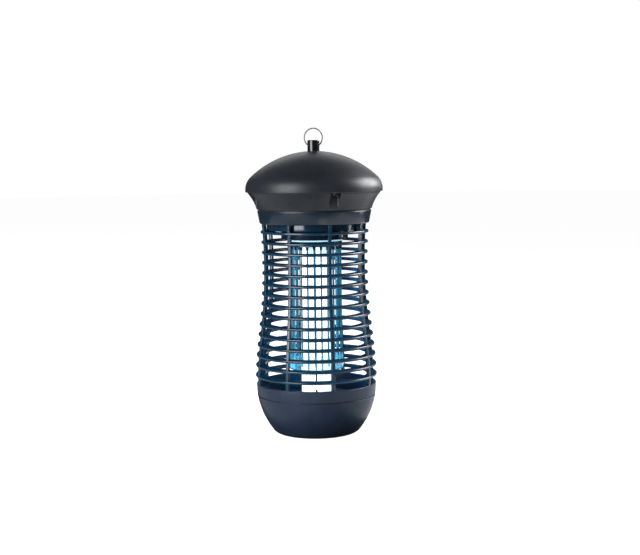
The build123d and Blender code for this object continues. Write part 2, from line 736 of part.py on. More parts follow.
def rim_half(side):
    rim = turned([
        Line((RIM_INNER_RADIUS, TRAY_TOP), (RIM_RADIUS_BOTTOM, TRAY_TOP)),
        Line((RIM_RADIUS_BOTTOM, TRAY_TOP), (RIM_RADIUS_TOP, RIM_TOP)),
        Line((RIM_RADIUS_TOP, RIM_TOP), (RIM_INNER_RADIUS, RIM_TOP)),
        Line((RIM_INNER_RADIUS, RIM_TOP), (RIM_INNER_RADIUS, TRAY_TOP)),
    ])
    rim = fillet(circles(rim, RIM_RADIUS_TOP), RIM_CORNER)
    middle = (SEAM_EAR_BOTTOM + SEAM_EAR_TOP) / 2
    for x in (-SEAM_SCREW_X, SEAM_SCREW_X):
        rim += block(SEAM_EAR_LENGTH, SEAM_EAR_WIDTH, SEAM_EAR_BOTTOM, SEAM_EAR_TOP, x, 0)
        hole_front = Pos(x, -3.5, middle) * Rot(90, 0, 0) * Cylinder(SMALL_CLEARANCE_RADIUS, 7)
        hole_back = Pos(x, 2.5, middle) * Rot(90, 0, 0) * Cylinder(SMALL_SCREW_RADIUS, 5)
        rim -= hole_front
        rim -= hole_back
    return rim & half_space(side)


def guard_half(side):
    """One half of the guard: fins, ribs, upper band and lower rim, abutting each other."""
    bars = guard_ribs(side)
    pieces = [rim_half(side), band_half(side)] + bars
    for index in range(FIN_COUNT):
        fin = guard_fin(index) & half_space(side)
        for bar in bars:
            fin -= bar
        pieces.append(fin)
    return group(pieces)


def guard_front_half():
    return guard_half(-1)


def guard_rear_half():
    return guard_half(1)


def cage_screws():
    screw = pan_screw(NECK_FLOOR + DRUM_FLANGE + LUG_TOP - LUG_BOTTOM - 0.5)
    return group(Pos(x, y, NECK_FLOOR_TOP) * screw for x, y, _ in cage_screw_places())


def seam_screws():
    middle = (SEAM_EAR_BOTTOM + SEAM_EAR_TOP) / 2
    screw = Rot(90, 0, 0) * pan_screw(10.5, radius=SMALL_SCREW_RADIUS, head=2.5, height=1.8)
    front = -SEAM_EAR_WIDTH / 2
    return group(Pos(x, front, middle) * screw for x in (-SEAM_SCREW_X, SEAM_SCREW_X))


# ---- insect tray ----

def bowl(inset, z_low, fillet_radius):
    """Solid bowl: flat base, filleted foot and a bulging side up to the tray's rim."""
    top = (RIM_RADIUS_BOTTOM - inset, TRAY_TOP)
    foot = (TRAY_BASE_RADIUS - inset, z_low)
    side = RadiusArc(foot, top, -(TRAY_ARC_RADIUS - inset))
    outline = [Line((0, z_low), foot), side, Line(top, (0, TRAY_TOP)), Line((0, TRAY_TOP), (0, z_low))]
    solid = turned(outline)
    return fillet(solid.edges().group_by(Axis.Z)[0], fillet_radius)


def insect_tray():
    tray = bowl(0, 0.0, TRAY_BASE_FILLET) - bowl(TRAY_WALL, TRAY_WALL, TRAY_BASE_FILLET - 1)
    inner = SPIGOT_RADIUS - TRAY_WALL
    spigot = tube(SPIGOT_RADIUS, inner, TRAY_TOP - SPIGOT_ROOT, TRAY_TOP + SPIGOT_HEIGHT)
    ledge = tube(RIM_RADIUS_BOTTOM - LEDGE_INSET, inner, TRAY_TOP - LEDGE_DEPTH, TRAY_TOP)
    return tray + spigot + ledge


PARTS = [
    hanging_ring, hanger_post, hanger_stud, hanger_washer, hanger_nut,
    roof_cover, roof_screws, neck_collar, cable_gland, gland_cap, gland_nut,
    hv_board, board_screws, hv_transformer, hv_capacitors, hv_resistors, ballast,
    terminal_block, terminal_screws, lamp_drum, drum_screws, lamp_holder, holder_screws,
    lamp_base, lamp_pins, lamp_tube, grid_top_insulator, grid_bottom_insulator,
    live_grid, ground_grid, grid_screws, grid_posts, grid_nuts,
    guard_front_half, guard_rear_half, cage_screws, seam_screws, insect_tray,
]

os.makedirs("parts", exist_ok=True)
for make in PARTS:
    export_step(make(), f"parts/{make.__name__}.step")
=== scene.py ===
"""Looks of a hanging electric bug zapper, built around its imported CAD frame. Metres, +Z up, axis on Z."""
import json
import math

import bmesh
import bpy
from mathutils import Matrix, Vector


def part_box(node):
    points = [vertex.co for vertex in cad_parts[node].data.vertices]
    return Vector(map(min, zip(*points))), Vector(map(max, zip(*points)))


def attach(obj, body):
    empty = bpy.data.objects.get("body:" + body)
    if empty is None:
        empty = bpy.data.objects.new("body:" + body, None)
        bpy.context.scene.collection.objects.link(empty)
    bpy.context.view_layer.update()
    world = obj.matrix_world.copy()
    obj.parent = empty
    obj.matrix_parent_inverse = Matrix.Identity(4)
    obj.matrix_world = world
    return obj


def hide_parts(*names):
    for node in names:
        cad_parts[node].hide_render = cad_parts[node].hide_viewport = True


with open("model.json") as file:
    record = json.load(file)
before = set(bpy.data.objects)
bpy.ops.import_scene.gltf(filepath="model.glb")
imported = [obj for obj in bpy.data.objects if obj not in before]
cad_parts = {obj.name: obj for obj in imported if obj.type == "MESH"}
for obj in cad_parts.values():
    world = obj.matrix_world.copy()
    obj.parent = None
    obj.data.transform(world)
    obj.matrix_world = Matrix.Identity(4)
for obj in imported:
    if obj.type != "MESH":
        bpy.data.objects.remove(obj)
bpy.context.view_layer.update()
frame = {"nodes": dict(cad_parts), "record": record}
SCENE = bpy.context.scene
MM = 0.001


# ---- places read from the frame, in metres ----

ROOF_LOW, ROOF_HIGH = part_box("roof_cover")
GUARD_LOW, GUARD_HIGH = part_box("guard_front_half")
TRAY_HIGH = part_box("insect_tray")[1]
POST_LOW, POST_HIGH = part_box("hanger_post")
RING_LOW, RING_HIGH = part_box("hanging_ring")
TUBE_LOW, TUBE_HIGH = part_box("lamp_tube")

TRAY_TOP = GUARD_LOW.z
BAND_TOP = GUARD_HIGH.z
ROOF_EDGE = ROOF_LOW.z
ROOF_RADIUS = ROOF_HIGH.x

# Guard, as it is in the CAD source
RIM_TOP = TRAY_TOP + 14.3 * MM
BAND_BOTTOM = BAND_TOP - 16.0 * MM
FIN_COUNT = 15
FIN_PITCH = 12.9 * MM
TOP_FIN_Z = BAND_TOP - 26.5 * MM
FIN_THICKNESS = 3.2 * MM
FIN_DEPTH = 12.0 * MM
FIN_EDGE_RADIUS = 1.2 * MM
WAIST_RADIUS = 66.5 * MM
WAIST_Z = BAND_TOP - 59.8 * MM
FLARE = 10.3 * MM
FLARE_HEIGHT = 150.0 * MM
FLARE_POWER = 1.3
NECK_SPREAD = 1.16  # how fast the fins widen above the waist, per metre
RIB_WIDTH = 4.0 * MM
SEAM_RIB_WIDTH = 3.6 * MM
RIB_DEPTH = 4.2 * MM
RIB_SETBACK = 1.2 * MM
RIB_IN_RIM = 4 * MM
RIB_IN_BAND = 3 * MM
BAND_RADIUS_TOP = 71.6 * MM
BAND_RADIUS_BOTTOM = 68.6 * MM
BAND_INNER = 65.4 * MM
RIM_RADIUS_TOP = 75.7 * MM
RIM_RADIUS_BOTTOM = 74.9 * MM
RIM_INNER = 72.0 * MM

# Neck: its outer radius at the band, halfway up and at the roof
NECK_RADII = (71.6 * MM, 76.0 * MM, 84.2 * MM)
NECK_WALL = 2.6 * MM


def guard_radius(z):
    """Outer radius of the fins at height z: a waist near the top and a smooth flare to the foot."""
    if z > WAIST_Z:
        return WAIST_RADIUS + NECK_SPREAD * (z - WAIST_Z) ** 2
    part = min((WAIST_Z - z) / FLARE_HEIGHT, 1.0)
    return WAIST_RADIUS + FLARE * (1 - math.cos(math.pi * part ** FLARE_POWER)) / 2


# ---- profiles: lists of (radius, height) ----

def arc(centre, radius, start, end, steps):
    """Points on an arc, in degrees from the outward direction towards up."""
    points = []
    for index in range(steps + 1):
        angle = math.radians(start + (end - start) * index / steps)
        points.append((centre[0] + radius * math.cos(angle), centre[1] + radius * math.sin(angle)))
    return points


def arc_through(start, middle, end, steps):
    """Points on the arc through three points."""
    (ax, ay), (bx, by), (cx, cy) = start, middle, end
    d = 2 * (ax * (by - cy) + bx * (cy - ay) + cx * (ay - by))
    a2, b2, c2 = ax * ax + ay * ay, bx * bx + by * by, cx * cx + cy * cy
    ux = (a2 * (by - cy) + b2 * (cy - ay) + c2 * (ay - by)) / d
    uy = (a2 * (cx - bx) + b2 * (ax - cx) + c2 * (bx - ax)) / d
    radius = math.hypot(ax - ux, ay - uy)
    first = math.degrees(math.atan2(ay - uy, ax - ux))
    last = math.degrees(math.atan2(cy - uy, cx - ux))
    if last - first > 180:
        last -= 360
    if first - last > 180:
        last += 360
    return arc((ux, uy), radius, first, last, steps)


def rounded(corners, steps=5):
    """A closed outline from (x, y, corner radius), each corner rounded."""
    outline = []
    count = len(corners)
    for index in range(count):
        x, y, radius = corners[index]
        here = Vector((x, y))
        if radius <= 0:
            outline.append((x, y))
            continue
        before = (Vector(corners[index - 1][:2]) - here).normalized()
        after = (Vector(corners[(index + 1) % count][:2]) - here).normalized()
        half = before.angle(after) / 2
        reach = radius / math.tan(half)
        start, end = here + before * reach, here + after * reach
        centre = here + (before + after).normalized() * (radius / math.sin(half))
        for step in range(steps + 1):
            point = start.lerp(end, step / steps) - centre
            point = centre + point.normalized() * radius
            outline.append((point.x, point.y))
    return outline


# ---- mesh making ----

def new_object(name, verts, faces):
    mesh = bpy.data.meshes.new(name)
    mesh.from_pydata([tuple(v) for v in verts], [], faces)
    work = bmesh.new()
    work.from_mesh(mesh)
    bmesh.ops.remove_doubles(work, verts=work.verts, dist=1e-7)
    bmesh.ops.recalc_face_normals(work, faces=work.faces)
    work.to_mesh(mesh)
    work.free()
    made = bpy.data.objects.new(name, mesh)
    SCENE.collection.objects.link(made)
    return made


def revolve(name, outline, segments=192, start=0.0, sweep=360.0):
    """Turns a closed outline about Z. A part turn gets flat ends."""
    whole = abs(sweep - 360.0) < 1e-6
    columns = segments if whole else segments + 1
    verts, faces = [], []
    count = len(outline)
    for column in range(columns):
        angle = math.radians(start + sweep * column / segments)
        for radius, z in outline:
            verts.append((radius * math.cos(angle), radius * math.sin(angle), z))
    for column in range(segments):
        left, right = column * count, (column + 1) % columns * count
        for row in range(count):
            after = (row + 1) % count
            ring = [left + row, right + row, right + after, left + after]
            if outline[row][0] == 0 and outline[after][0] == 0:
                continue
            faces.append(ring)
    if not whole:
        faces.append(list(range(count)))
        faces.append([(columns - 1) * count + row for row in range(count)])
    made = new_object(name, verts, faces)
    clean(made)
    return made


def clean(made):
    """Drops the faces of no area that a turned outline leaves on its axis."""
    work = bmesh.new()
    work.from_mesh(made.data)
    bmesh.ops.dissolve_degenerate(work, dist=1e-8, edges=work.edges)
    bmesh.ops.recalc_face_normals(work, faces=work.faces)
    work.to_mesh(made.data)
    work.free()


def loft(name, rings):
    """A closed skin through sections of equal length, with flat ends."""
    count = len(rings[0])
    verts = [point for ring in rings for point in ring]
    faces = []
    for index in range(len(rings) - 1):
        low, high = index * count, (index + 1) * count
        for row in range(count):
            after = (row + 1) % count
            faces.append([low + row, low + after, high + after, high + row])
    faces.append(list(range(count)))
    faces.append([(len(rings) - 1) * count + row for row in range(count)])
    return new_object(name, verts, faces)


def joined(name, objects):
    """One object from several, each a closed skin that touches no other."""
    verts, faces = [], []
    for piece in objects:
        base = len(verts)
        verts += [tuple(piece.matrix_world @ v.co) for v in piece.data.vertices]
        faces += [[base + i for i in f.vertices] for f in piece.data.polygons]
        remove(piece)
    mesh = bpy.data.meshes.new(name)
    mesh.from_pydata(verts, [], faces)
    made = bpy.data.objects.new(name, mesh)
    SCENE.collection.objects.link(made)
    return made


def remove(piece):
    mesh = piece.data
    bpy.data.objects.remove(piece)
    bpy.data.meshes.remove(mesh)


def boolean(target, tool, operation):
    """Adds a tool to the target, or cuts it away, and drops the tool."""
    bpy.context.view_layer.update()
    step = target.modifiers.new("step", "BOOLEAN")
    step.object = tool
    step.operation = operation
    step.solver = "MANIFOLD"
    bpy.context.view_layer.update()
    graph = bpy.context.evaluated_depsgraph_get()
    mesh = bpy.data.meshes.new_from_object(target.evaluated_get(graph))
    target.modifiers.clear()
    old = target.data
    target.data = mesh
    bpy.data.meshes.remove(old)
    remove(tool)
    return target


def smooth(piece, angle=32.0):
    piece.data.shade_smooth()
    piece.data.set_sharp_from_angle(angle=math.radians(angle))


def finish_piece(piece, body, slot, material, *nodes):
    piece.data.materials.clear()
    piece.data.materials.append(material)
    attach(piece, body)
    if nodes:
        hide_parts(*nodes)
    return piece


# ---- materials ----

# How far a normal points up where a dusty surface starts to be dull and is fully dull
DUSTY_FROM = (0.7, 0.95)
DUSTY_ROUGHNESS = 0.65
DUSTY_SPECULAR = 0.1

LAMP_GLOW = (0.9, 0.97, 1.0)
LAMP_GLOW_BASE = (0.34, 0.6, 0.8)
LAMP_GLOW_RAMP = (BAND_TOP - 62 * MM, BAND_TOP - 46 * MM)
LAMP_POWER = 1.1


def node_material(name):
    material = bpy.data.materials.new(name)
    material.use_nodes = True
    tree = material.node_tree
    tree.nodes.clear()
    return material, tree


def add(tree, kind, **inputs):
    node = tree.nodes.new(kind)
    for key, value in inputs.items():
        node.inputs[key.replace("_", " ")].default_value = value
    return node


def noise(tree, coordinates, scale, detail=2.0, roughness=0.5):
    node = add(tree, "ShaderNodeTexNoise", Scale=scale, Detail=detail, Roughness=roughness)
    tree.links.new(coordinates, node.inputs["Vector"])
    return node.outputs["Fac"]


def ranged(tree, value, low, high, to_low, to_high):
    node = tree.nodes.new("ShaderNodeMapRange")
    for key, number in zip(("From Min", "From Max", "To Min", "To Max"), (low, high, to_low, to_high)):
        node.inputs[key].default_value = number
    tree.links.new(value, node.inputs["Value"])
    return node.outputs["Result"]


def mixed(tree, factor, first, second):
    node = tree.nodes.new("ShaderNodeMix")
    node.data_type = "RGBA"
    tree.links.new(factor, node.inputs["Factor"])
    for socket, value in ((node.inputs[6], first), (node.inputs[7], second)):
        if isinstance(value, tuple):
            socket.default_value = (*value, 1.0)
        else:
            tree.links.new(value, socket)
    return node.outputs[2]


def surface(name, low, high, roughness, specular=0.5, metallic=0.0, grain=None, blotch=60.0, wear=None,
            spread=0.05, clear=0.0, dusty=False, glow=None):
    """Moulded or metal surface: two shades blotched together, uneven roughness, fine grain, worn edges.
    A clear one lets light through, a dusty one is dull where it faces up, and glow is painted light: an
    emitted colour that makes a part look lit though it is no lamp."""
    material, tree = node_material(name)
    links = tree.links
    place = tree.nodes.new("ShaderNodeTexCoord").outputs["Object"]
    shader = add(tree, "ShaderNodeBsdfPrincipled", Metallic=metallic)
    shader.inputs["Specular IOR Level"].default_value = specular
    shader.inputs["Transmission Weight"].default_value = clear
    # Painted light: the glow colour is emitted by a part that is no lamp.
    if glow:
        shader.inputs["Emission Color"].default_value = (*glow, 1.0)
        shader.inputs["Emission Strength"].default_value = 1.0
    colour = mixed(tree, ranged(tree, noise(tree, place, blotch, 4.0), 0.35, 0.65, 0.0, 1.0), low, high)
    if wear:
        edges = tree.nodes.new("ShaderNodeNewGeometry").outputs["Pointiness"]
        colour = mixed(tree, ranged(tree, edges, 0.53, 0.62, 0.0, 1.0), colour, wear)
    links.new(colour, shader.inputs["Base Color"])
    uneven = ranged(tree, noise(tree, place, blotch * 6, 3.0), 0.3, 0.7,
                    roughness - spread, roughness + spread)
    if dusty:
        split = tree.nodes.new("ShaderNodeSeparateXYZ")
        links.new(tree.nodes.new("ShaderNodeNewGeometry").outputs["Normal"], split.inputs["Vector"])
        facing_up = split.outputs["Z"]
        dulled = ranged(tree, facing_up, *DUSTY_FROM, specular, DUSTY_SPECULAR * specular)
        links.new(dulled, shader.inputs["Specular IOR Level"])
        dull = ranged(tree, facing_up, *DUSTY_FROM, roughness, DUSTY_ROUGHNESS)
        links.new(uneven, dull.node.inputs["To Min"])
        uneven = dull
    links.new(uneven, shader.inputs["Roughness"])
    if grain:
        size, depth = grain
        bump = add(tree, "ShaderNodeBump", Strength=1.0, Distance=depth)
        links.new(noise(tree, place, 1 / size, 3.0, 0.6), bump.inputs["Height"])
        links.new(bump.outputs["Normal"], shader.inputs["Normal"])
    output = tree.nodes.new("ShaderNodeOutputMaterial")
    links.new(shader.outputs["BSDF"], output.inputs["Surface"])
    return material


def glowing_glass():
    """Lit tube: phosphor glow, bluer by the base."""
    material, tree = node_material("lamp_glass")
    links = tree.links
    place = tree.nodes.new("ShaderNodeTexCoord").outputs["Object"]
    split = tree.nodes.new("ShaderNodeSeparateXYZ")
    links.new(place, split.inputs["Vector"])
    near_base = ranged(tree, split.outputs["Z"], *LAMP_GLOW_RAMP, 0.0, 1.0)
    coating = ranged(tree, noise(tree, place, 90.0, 3.0), 0.3, 0.7, 0.92, 1.0)
    colour = mixed(tree, near_base, LAMP_GLOW, LAMP_GLOW_BASE)
    power = tree.nodes.new("ShaderNodeMath")
    power.operation = "MULTIPLY"
    links.new(coating, power.inputs[0])
    power.inputs[1].default_value = LAMP_POWER
    shader = add(tree, "ShaderNodeBsdfPrincipled", Roughness=0.08)
    shader.inputs["Base Color"].default_value = (0.82, 0.86, 0.9, 1.0)
    links.new(colour, shader.inputs["Emission Color"])
    links.new(power.outputs["Value"], shader.inputs["Emission Strength"])
    output = tree.nodes.new("ShaderNodeOutputMaterial")
    links.new(shader.outputs["BSDF"], output.inputs["Surface"])
    return material


MATERIALS = {
    "casing_plastic": surface("casing_plastic", (0.0070, 0.0085, 0.0118), (0.0098, 0.0118, 0.0155),
                              0.42, 0.26, grain=(1.1 * MM, 0.05 * MM), wear=(0.03, 0.032, 0.036)),
    # The guard's base colour is a dark plastic tinted deep blue with painted lamp light; the band of the
    # same moulding gets a greyer shade.
    "guard_plastic": surface("guard_plastic", (0.0015, 0.0160, 0.034), (0.0024, 0.0205, 0.041), 0.22, 0.34,
                             grain=(0.8 * MM, 0.002 * MM), dusty=True),
    "band_plastic": surface("band_plastic", (0.0028, 0.0078, 0.0140), (0.0042, 0.0102, 0.0185), 0.21, 0.40,
                            grain=(0.9 * MM, 0.010 * MM), spread=0.015),
    "tray_plastic": surface("tray_plastic", (0.0085, 0.0150, 0.0285), (0.0112, 0.0186, 0.0345), 0.42, 0.17,
                            grain=(0.7 * MM, 0.03 * MM), wear=(0.03, 0.034, 0.042)),
    "post_plastic": surface("post_plastic", (0.0028, 0.0032, 0.0045), (0.0038, 0.0043, 0.0060), 0.16, 0.40,
                            grain=(1.5 * MM, 0.0005 * MM)),
    # The drum's navy base colour is painted blue lamp light on a near-black plastic.
    "drum_plastic": surface("drum_plastic", (0.004, 0.014, 0.030), (0.006, 0.018, 0.037), 0.14, 0.35,
                            grain=(1.5 * MM, 0.005 * MM)),
    "ring_steel": surface("ring_steel", (0.11, 0.11, 0.107), (0.14, 0.14, 0.135), 0.55, 0.3, 0.3,
                          grain=(0.4 * MM, 0.001 * MM)),
    "black_steel": surface("black_steel", (0.02, 0.02, 0.022), (0.03, 0.03, 0.033), 0.35, 0.5, 0.6,
                           grain=(0.3 * MM, 0.01 * MM)),
    "screw_steel": surface("screw_steel", (0.35, 0.35, 0.34), (0.45, 0.45, 0.44), 0.3, 0.5, 1.0,
                           grain=(0.3 * MM, 0.01 * MM)),
    # Painted light: the wires' blue glow stands in for the lamp's light spilling onto their sides that face
    # away from it.
    "grid_steel": surface("grid_steel", (0.006, 0.030, 0.036), (0.009, 0.038, 0.046), 0.45, 0.3, 0.2,
                          grain=(0.4 * MM, 0.001 * MM), glow=(0.004, 0.125, 0.23)),
    # Painted light: the clear insulator's blue glow stands in for the lamp's light catching its edges.
    "insulator_plastic": surface("insulator_plastic", (0.88, 0.97, 1.0), (0.92, 0.98, 1.0), 0.08, 0.3,
                                 grain=(0.8 * MM, 0.001 * MM), clear=1.0, glow=(0.01, 0.08, 0.14)),
    # Painted light: the collar's pale blue glow stands in for the lamp's light on it.
    "collar_plastic": surface("collar_plastic", (0.55, 0.66, 0.7), (0.6, 0.7, 0.74), 0.4, 0.3,
                              grain=(0.8 * MM, 0.002 * MM), glow=(0.30, 0.62, 0.78)),
    "lamp_glass": glowing_glass(),
    "lamp_base_plastic": surface("lamp_base_plastic", (0.68, 0.68, 0.66), (0.75, 0.75, 0.73), 0.4, 0.5,
                                 grain=(0.5 * MM, 0.01 * MM)),
    "pin_brass": surface("pin_brass", (0.7, 0.52, 0.24), (0.8, 0.6, 0.3), 0.3, 0.5, 1.0,
                         grain=(0.3 * MM, 0.01 * MM)),
    "board_laminate": surface("board_laminate", (0.03, 0.12, 0.05), (0.04, 0.16, 0.07), 0.4, 0.5,
                              grain=(0.6 * MM, 0.02 * MM)),
    "transformer_steel": surface("transformer_steel", (0.2, 0.2, 0.2), (0.28, 0.28, 0.28), 0.4, 0.5, 0.8,
                                 grain=(0.5 * MM, 0.02 * MM)),
    "capacitor_sleeve": surface("capacitor_sleeve", (0.02, 0.03, 0.09), (0.03, 0.04, 0.12), 0.3),
    "resistor_body": surface("resistor_body", (0.4, 0.3, 0.18), (0.48, 0.36, 0.22), 0.5),
    "ballast_case": surface("ballast_case", (0.03, 0.03, 0.03), (0.05, 0.05, 0.05), 0.5,
                            grain=(0.5 * MM, 0.02 * MM)),
    "terminal_plastic": surface("terminal_plastic", (0.7, 0.68, 0.6), (0.78, 0.76, 0.68), 0.4),
    "gland_plastic": surface("gland_plastic", (0.010, 0.0115, 0.015), (0.014, 0.016, 0.020), 0.35, 0.42,
                             grain=(0.6 * MM, 0.02 * MM), wear=(0.03, 0.032, 0.036)),
}

for part in frame["record"]["subparts"]:
    node = frame["nodes"][part["node"]]
    node.data.materials.clear()
    node.data.materials.append(MATERIALS[part["material_slot"]])


# ---- roof ----

def roof_outline():
    apex = ROOF_HIGH.z + 0.4 * MM
    dome_radius, shoulder, wall = 114.8 * MM, 20.8 * MM, 2.6 * MM
    dome_centre = apex - dome_radius
    across = ROOF_RADIUS - shoulder
    shoulder_centre = dome_centre + math.sqrt((dome_radius - shoulder) ** 2 - across ** 2)
    turn = math.degrees(math.atan2(shoulder_centre - dome_centre, across))
    hole = 3.2 * MM
    last = math.degrees(math.acos(hole / dome_radius))
    outer = arc((across, shoulder_centre), shoulder, 0, turn, 24)
    outer += arc((0, dome_centre), dome_radius, turn, last, 64)[1:]
    inner = arc((0, dome_centre), dome_radius - wall, last, turn, 48)
    inner += arc((across, shoulder_centre), shoulder - wall, turn, 0, 20)[1:]
    steps, wall_radius, above = 5, ROOF_RADIUS - wall, ROOF_EDGE + 10 * MM
    foot = rounded([(wall_radius, ROOF_EDGE, 0.5 * MM), (ROOF_RADIUS, ROOF_EDGE, 0.8 * MM),
                    (ROOF_RADIUS, above, 0), (wall_radius, above, 0)], steps)
    return foot[:2 * (steps + 1)] + outer + inner


roof = revolve("roof_shell", roof_outline(), 256)
smooth(roof)
finish_piece(roof, "casing", "casing_plastic", MATERIALS["casing_plastic"], "roof_cover")


# ---- neck collar ----

CHANNEL_TURN = 2.0
CHANNEL_BACK = 72.9 * MM
CHANNEL_HALF = 6.35 * MM
CHANNEL_CORNER = 2.5 * MM
CHANNEL_LINER = 2.2 * MM
CHANNEL_MOUTH = 96 * MM
CHANNEL_TOP = ROOF_EDGE - 0.7 * MM
GROOVE_HEIGHT = 1.5 * MM
GROOVE_DEPTH = 1.3 * MM
FLANGE_RADIUS = 83.2 * MM
FLANGE_INNER = 68 * MM
FLOOR_HOLE = 36 * MM


def neck_flare():
    """Curve of the neck's outer surface, from the band up to the roof."""
    bottom, middle, top = NECK_RADII
    return arc_through((bottom, BAND_TOP), (middle, (ROOF_EDGE + BAND_TOP) / 2), (top, ROOF_EDGE), 40)


def neck_outline():
    bottom = NECK_RADII[0]
    wall = floor = NECK_WALL
    flare = neck_flare()
    groove_top = BAND_TOP + GROOVE_HEIGHT
    outside = [(bottom - GROOVE_DEPTH, BAND_TOP), (bottom - GROOVE_DEPTH, groove_top - 0.4 * MM),
               (bottom - GROOVE_DEPTH + 0.4 * MM, groove_top)]
    outside += [point for point in flare if groove_top + 0.2 * MM < point[1] < ROOF_EDGE - 1 * MM]
    flange_top = ROOF_EDGE + 1.9 * MM
    outside += [(FLANGE_RADIUS, CHANNEL_TOP), (FLANGE_RADIUS, flange_top), (FLANGE_INNER, flange_top),
                (FLANGE_INNER, CHANNEL_TOP)]
    inside = [(radius - wall, z) for radius, z in flare[::-1]
              if BAND_TOP + floor + 0.5 * MM < z < ROOF_EDGE - 1.5 * MM]
    return outside + inside + [(bottom - wall, BAND_TOP + floor), (FLOOR_HOLE, BAND_TOP + floor),
                               (FLOOR_HOLE, BAND_TOP)]


def neck_solid():
    """Everything within the neck's outer surface, for trimming the channel walls."""
    return revolve("neck_solid", [(0.0, BAND_TOP)] + neck_flare() + [(0.0, ROOF_EDGE)], 256)


def slot_plan(wall):
    """Plan of an upright flat-backed slot that opens outwards, or of its wall."""
    back, half = CHANNEL_BACK - wall, CHANNEL_HALF + wall
    corner = CHANNEL_CORNER
    return rounded([(back, -half, corner), (CHANNEL_MOUTH, -half, 0), (CHANNEL_MOUTH, half, 0),
                    (back, half, corner)], 8)


def four_slots(wall, low, high):
    return joined("slots", [prism("slot", slot_plan(wall), low, high, CHANNEL_TURN + 90.0 * k)
                            for k in range(4)])


def prism(name, outline, low, high, turn=0.0):
    """An upright prism from a plan of (x, y), turned about Z."""
    spin = Matrix.Rotation(math.radians(turn), 4, "Z")
    rings = [[spin @ Vector((x, y, z)) for x, y in outline] for z in (low, high)]
    return loft(name, rings)


def circle_plan(radius, x=0.0, y=0.0, steps=48):
    """A circle as a plan of (x, y)."""
    angles = [2 * math.pi * k / steps for k in range(steps)]
    return [(x + radius * math.cos(angle), y + radius * math.sin(angle)) for angle in angles]


neck = revolve("neck_shell", neck_outline(), 256)
liners = four_slots(CHANNEL_LINER, BAND_TOP + GROOVE_HEIGHT + 0.3 * MM, CHANNEL_TOP)
liners = boolean(liners, neck_solid(), "INTERSECT")
neck = boolean(neck, liners, "UNION")
neck = boolean(neck, four_slots(0.0, BAND_TOP - 1 * MM, CHANNEL_TOP), "DIFFERENCE")
smooth(neck)
finish_piece(neck, "casing", "casing_plastic", MATERIALS["casing_plastic"], "neck_collar")


# ---- lamp drum ----

BOSS_RADIUS = 3.6 * MM
BOSS_CIRCLE = 54 * MM
BOSS_LOW = BAND_TOP - 8 * MM
BOSS_HIGH = BAND_TOP - 2.8 * MM

# Flange under the neck, wide drum and hub, from the hub's opening outwards and back inside:
# radius, height over the band's top and corner radius, in millimetres
DRUM_CORNERS = [
    (35.1, -35.8, 0.3), (42.0, -35.8, 1.0), (42.0, -24.3, 0.6), (60.0, -24.3, 1.0), (60.0, -13.8, 0.8),
    (50.0, -13.8, 0.6), (50.0, -3.0, 0.6), (64.6, -3.0, 0.6), (64.6, 0.0, 0.3), (47.4, 0.0, 0.3),
    (47.4, -16.4, 0.3), (57.4, -16.4, 0.5), (57.4, -21.7, 0.5), (39.4, -21.7, 0.5), (39.4, -31.8, 0.5),
    (35.1, -31.8, 0.3)]


def drum_outline():
    return rounded([(r * MM, BAND_TOP + z * MM, corner * MM) for r, z, corner in DRUM_CORNERS], 4)


drum = revolve("drum_shell", drum_outline(), 192)
bosses = [prism("boss", circle_plan(BOSS_RADIUS, BOSS_CIRCLE, steps=24), BOSS_LOW, BOSS_HIGH, 90.0 * k)
          for k in range(4)]
drum = boolean(drum, joined("bosses", bosses), "UNION")
smooth(drum)
finish_piece(drum, "casing", "drum_plastic", MATERIALS["drum_plastic"], "lamp_drum")


# ---- pale collar of the upper insulator, a guess from the bright line there; its glow is painted lamp light ----

COLLAR_INNER = 33.8 * MM
COLLAR_OUTER = 34.9 * MM
COLLAR_LOW = BAND_TOP - 38.0 * MM
COLLAR_HIGH = BAND_TOP - 35.9 * MM

collar = revolve("insulator_collar", rounded([
    (COLLAR_INNER, COLLAR_LOW, 0.2 * MM), (COLLAR_OUTER, COLLAR_LOW, 0.3 * MM),
    (COLLAR_OUTER, COLLAR_HIGH, 0.3 * MM), (COLLAR_INNER, COLLAR_HIGH, 0.2 * MM)], 4), 128)
smooth(collar)
finish_piece(collar, "casing", "insulator_plastic", MATERIALS["collar_plastic"])


# ---- guard ----

def fin_outline(z):
    radius = guard_radius(z)
    low, high = z - FIN_THICKNESS / 2, z + FIN_THICKNESS / 2
    return rounded([(radius, low, FIN_EDGE_RADIUS), (radius, high, FIN_EDGE_RADIUS),
                    (radius - FIN_DEPTH, high, 0.4 * MM), (radius - FIN_DEPTH, low, 0.4 * MM)])


def rib_bar(name, turn, low, high):
    """Upright bar that follows the guard's outline, from low to high across its own direction.
    It reaches into the rim and the band, and its foot stays within the rim's face."""
    levels = 60
    corner = 0.5 * MM
    spin = Matrix.Rotation(math.radians(turn), 4, "Z")
    rings = []
    for index in range(levels + 1):
        z = RIM_TOP - RIB_IN_RIM + (BAND_BOTTOM + RIB_IN_BAND - RIM_TOP + RIB_IN_RIM) * index / levels
        outer = guard_radius(z) - RIB_SETBACK
        if z < RIM_TOP:
            outer = min(outer, RIM_RADIUS_BOTTOM - 0.1 * MM)
        plan = rounded([(outer, low, corner), (outer, high, corner),
                        (outer - RIB_DEPTH, high, corner), (outer - RIB_DEPTH, low, corner)], 3)
        rings.append([spin @ Vector((x, y, z)) for x, y in plan])
    return loft(name, rings)


def band_outline():
    return rounded([(BAND_RADIUS_BOTTOM, BAND_BOTTOM, 2.0 * MM), (BAND_RADIUS_TOP, BAND_TOP, 0.5 * MM),
                    (BAND_INNER, BAND_TOP, 0.3 * MM), (BAND_INNER, BAND_BOTTOM, 0.5 * MM)])


def rim_outline():
    return rounded([(RIM_RADIUS_BOTTOM, TRAY_TOP, 0.5 * MM), (RIM_RADIUS_TOP, RIM_TOP, 1.0 * MM),
                    (RIM_INNER, RIM_TOP, 0.5 * MM), (RIM_INNER, TRAY_TOP, 0.3 * MM)])


